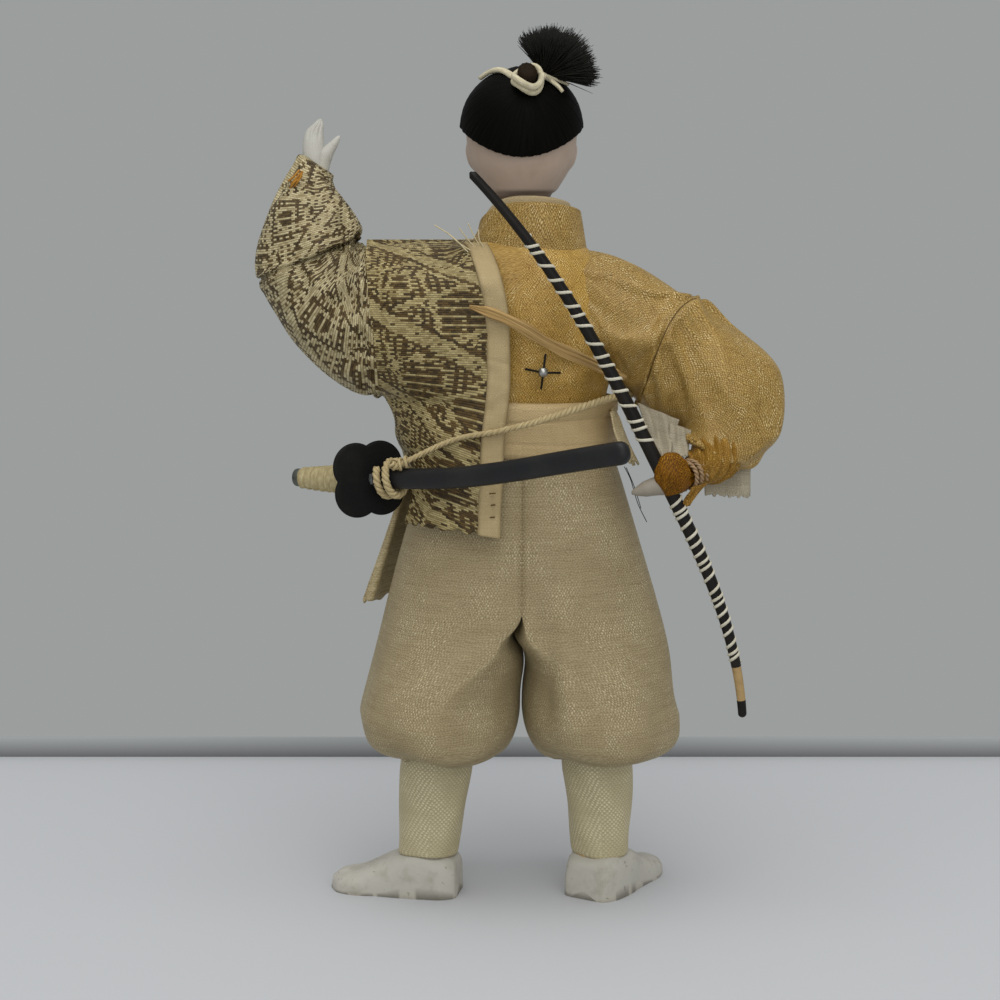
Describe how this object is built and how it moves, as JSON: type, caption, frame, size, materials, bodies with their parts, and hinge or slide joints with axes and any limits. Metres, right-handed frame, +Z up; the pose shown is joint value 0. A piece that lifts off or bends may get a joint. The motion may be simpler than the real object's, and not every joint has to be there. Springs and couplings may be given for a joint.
{
  "type": "samurai doll",
  "caption": "Free-standing samurai archer doll in silk hakama and half-worn brocade coat, raised left hand, bow in the right fist, sword at the hip.",
  "frame": {"origin": "on the floor under the middle of the doll's box", "axes": "+Z up, +Y the way the doll faces, +X its right-hand side"},
  "size_m": [0.1068, 0.0658, 0.1787],
  "materials": {
    "cream_silk": "cream plain-weave silk with slubs",
    "gold_silk": "gold damask silk crepe",
    "brocade": "cream and brown woven brocade",
    "pale_trim": "plain cream ribbon",
    "white_cloth": "thin off-white cotton",
    "shell_white": "shell-white lacquer over wood paste",
    "skin_white": "pale pink shell-white lacquer over wood paste",
    "black_hair": "black silk hair",
    "brown_hair": "brown-black bound hair",
    "black_lacquer": "black lacquered wood",
    "grey_lacquer": "dark grey painted wood",
    "tin": "dull silver foil or bead metal",
    "cord_silk": "twisted or flat cream cord",
    "white_paper": "twisted white paper strip",
    "bare_wood": "bare softwood",
    "straw": "bound straw",
    "cotton": "cotton filling",
    "iron_wire": "annealed iron wire"
  },
  "bodies": {
    "doll": {"left_foot": "shell_white", "right_foot": "shell_white", "left_leg": "bare_wood", "right_leg": "bare_wood", "left_gaiter": "cream_silk", "right_gaiter": "cream_silk", "hakama": "cream_silk", "left_thigh_padding": "cotton", "right_thigh_padding": "cotton", "left_arm_wire": "iron_wire", "right_arm_wire": "iron_wire", "straw_body": "straw", "kimono_body": "gold_silk", "waistband": "pale_trim", "gold_collar": "gold_silk", "white_inner_collar": "white_cloth", "left_upper_sleeve": "brocade", "left_lower_sleeve": "brocade", "left_arm_padding": "cotton", "right_upper_sleeve": "gold_silk", "right_lower_sleeve": "gold_silk", "right_arm_padding": "cotton", "right_hand": "shell_white", "right_glove": "gold_silk", "wrist_cord": "cord_silk", "right_sleeve_lining": "white_cloth", "waist_tie_end": "white_cloth", "coat_back": "brocade", "coat_front": "brocade", "coat_edge_band": "pale_trim", "sword_cord": "cord_silk", "scabbard": "grey_lacquer", "back_cord": "cord_silk", "back_stud": "tin"},
    "head": {"head": "skin_white", "neck_peg": "bare_wood", "hair_cap": "black_hair", "topknot_root": "brown_hair", "topknot_tie": "white_paper", "topknot_tuft": "black_hair"},
    "left_hand": {"left_hand": "shell_white"},
    "bow": {"bow_stave": "black_lacquer", "bow_upper_binding": "white_paper", "bow_lower_binding": "white_paper"},
    "sword": {"sword_blade": "tin", "sword_grip": "bare_wood", "grip_wrap": "pale_trim", "sword_pommel": "grey_lacquer", "sword_guard": "black_lacquer"}
  },
  "joints": [
    {"name": "head_turn", "type": "hinge", "parent": "doll", "child": "head", "pos_m": [-0.00011, 0.00999, 0.142], "axis": [0, 0, 1], "range_deg": [-50, 50]},
    {"name": "sword_draw", "type": "hinge", "parent": "doll", "child": "sword", "pos_m": [-0.05112, 0.01278, 0.38709], "axis": [0.5446, 0.8387, 0], "range_deg": [0, 7.4]},
    {"name": "left_hand_turn", "type": "hinge", "parent": "doll", "child": "left_hand", "pos_m": [-0.04261, 0.01999, 0.1495], "axis": [0.0779, 0.2142, 0.9737], "range_deg": [-30, 30]},
    {"name": "bow_twist", "type": "hinge", "parent": "doll", "child": "bow", "pos_m": [0.02729, -0.00901, 0.09], "axis": [-0.4462, -0.039, 0.8941], "range_deg": [-15, 15]}
  ]
}
